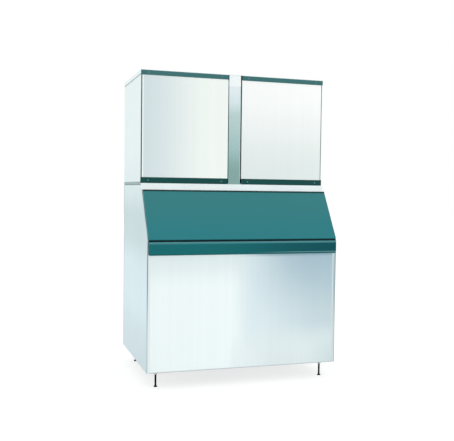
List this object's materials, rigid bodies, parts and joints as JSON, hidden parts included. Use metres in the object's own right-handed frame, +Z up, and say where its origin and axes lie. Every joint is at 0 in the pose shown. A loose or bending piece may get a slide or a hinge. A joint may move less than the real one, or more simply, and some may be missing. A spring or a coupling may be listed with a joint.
{
  "type": "ice cube machine",
  "caption": "Free-standing ice cube machine: a square ice-making head on an insulated storage bin with a sloping lift-up door, set on levelling feet.",
  "frame": {"origin": "on the floor, under the middle of the box that holds the whole machine", "axes": "+X to the right seen from the front, +Y towards the back, +Z up"},
  "size_m": [1.22, 0.88, 1.928],
  "materials": {
    "stainless_bin": "fine brushed stainless sheet, satin, faintly blue in the light",
    "stainless_front": "fine brushed stainless sheet, satin",
    "stainless_head": "pale satin sheet",
    "post_steel": "polished stainless, streaked along its length",
    "white_rail": "white stove enamel, semi-gloss",
    "teal_door": "teal powder coat, semi-gloss",
    "teal_handle": "dark teal extrusion, semi-gloss",
    "teal_trim": "teal strip, semi-gloss",
    "hinge_dark": "dark teal enamel",
    "grey_pan": "grey galvanised sheet, dull",
    "galvanised": "spangled zinc coat",
    "white_liner": "white moulded food-safe plastic",
    "foam": "cream rigid foam",
    "grey_rubber": "soft grey seal",
    "black_rubber": "black rubber",
    "black_steel": "black enamel",
    "bright_steel": "bright zinc plate",
    "black_foot": "black oxide steel",
    "nickel_plate": "bright nickel plate over copper",
    "copper": "drawn copper, lightly dulled",
    "brass": "turned brass",
    "clear_curtain": "translucent white moulded sheet",
    "black_plastic": "black moulded plastic",
    "aluminium_fin": "mill aluminium fins",
    "fan_metal": "pressed aluminium",
    "grey_plastic": "grey moulded plastic"
  },
  "bodies": {
    "cabinet": {"bin_back_panel": "galvanised", "bin_base_panel": "galvanised", "bin_drain_fitting": "grey_plastic", "bin_front_panel": "stainless_front", "bin_front_rail": "white_rail", "bin_insulation": "foam", "bin_left_panel": "stainless_bin", "bin_liner": "white_liner", "bin_mouth_frame": "white_liner", "bin_right_panel": "stainless_bin", "bin_thermostat_bulb": "copper", "bottom_trims": "teal_trim", "compressor": "black_steel", "compressor_grommets": "black_rubber", "condenser": "aluminium_fin", "condenser_shroud": "galvanised", "control_box": "grey_plastic", "curtain_hangers": "grey_plastic", "door_hinge_fixed_leaf": "hinge_dark", "door_hinge_pin": "bright_steel", "evaporator_coil": "copper", "evaporator_front": "nickel_plate", "evaporator_rear": "nickel_plate", "fan_motor": "black_steel", "filter_drier": "copper", "float_valve": "brass", "head_back_panel": "galvanised", "head_base_pan": "grey_pan", "head_centre_post": "post_steel", "head_front_panel_left": "stainless_head", "head_front_panel_right": "stainless_head", "head_left_side": "stainless_head", "head_partition": "galvanised", "head_right_side": "stainless_head", "head_seal": "grey_rubber", "head_top_cover": "stainless_head", "power_cable_gland": "black_plastic", "refrigerant_lines": "copper", "top_trims": "teal_trim", "trim_screws": "bright_steel", "water_inlet_fitting": "brass", "water_pump": "black_plastic", "water_trough": "white_liner", "water_tubes": "clear_curtain"},
    "bin_door": {"door_outer_panel": "teal_door", "door_inner_liner": "white_liner", "door_insulation": "foam", "door_gasket": "grey_rubber", "door_handle_strip": "teal_handle", "door_hinge_moving_leaf": "hinge_dark"},
    "front_curtain": {"curtain_front": "clear_curtain"},
    "rear_curtain": {"curtain_rear": "clear_curtain"},
    "pump_rotor": {"pump_rotor": "grey_plastic"},
    "float_arm": {"float_arm": "grey_plastic"},
    "condenser_fan": {"condenser_fan": "fan_metal"},
    "switch_lever": {"control_switch_lever": "black_plastic"},
    "foot_front_left": {"foot_front_left": "black_foot"},
    "foot_front_right": {"foot_front_right": "black_foot"},
    "foot_back_left": {"foot_back_left": "black_foot"},
    "foot_back_right": {"foot_back_right": "black_foot"}
  },
  "joints": [
    {"name": "door_hinge", "type": "hinge", "parent": "cabinet", "child": "bin_door", "pos_m": [0, -0.24643, 1.18489], "axis": [-1, 0, 0], "range_deg": [0, 155]},
    {"name": "front_curtain_swing", "type": "hinge", "parent": "cabinet", "child": "front_curtain", "pos_m": [0, 0.088, 1.811], "axis": [-1, 0, 0], "range_deg": [0, 35]},
    {"name": "rear_curtain_swing", "type": "hinge", "parent": "cabinet", "child": "rear_curtain", "pos_m": [0, 0.18, 1.811], "axis": [1, 0, 0], "range_deg": [0, 35]},
    {"name": "pump_spin", "type": "hinge", "parent": "cabinet", "child": "pump_rotor", "pos_m": [-0.5415, 0.134, 1.445], "axis": [0, 0, 1], "continuous": true},
    {"name": "float_rise", "type": "hinge", "parent": "cabinet", "child": "float_arm", "pos_m": [-0.0305, 0.134, 1.461], "axis": [0, 1, 0], "range_deg": [0, 20]},
    {"name": "fan_spin", "type": "hinge", "parent": "cabinet", "child": "condenser_fan", "pos_m": [0.4923, 0.185, 1.4932], "axis": [1, 0, 0], "continuous": true},
    {"name": "switch_throw", "type": "hinge", "parent": "cabinet", "child": "switch_lever", "pos_m": [0.1206, -0.136, 1.754], "axis": [1, 0, 0], "range_deg": [-12, 12]},
    {"name": "foot_front_left_height", "type": "slide", "parent": "cabinet", "child": "foot_front_left", "axis": [0, 0, -1], "range_m": [0, 0.03]},
    {"name": "foot_front_right_height", "type": "slide", "parent": "cabinet", "child": "foot_front_right", "axis": [0, 0, -1], "range_m": [0, 0.03]},
    {"name": "foot_back_left_height", "type": "slide", "parent": "cabinet", "child": "foot_back_left", "axis": [0, 0, -1], "range_m": [0, 0.03]},
    {"name": "foot_back_right_height", "type": "slide", "parent": "cabinet", "child": "foot_back_right", "axis": [0, 0, -1], "range_m": [0, 0.03]}
  ]
}
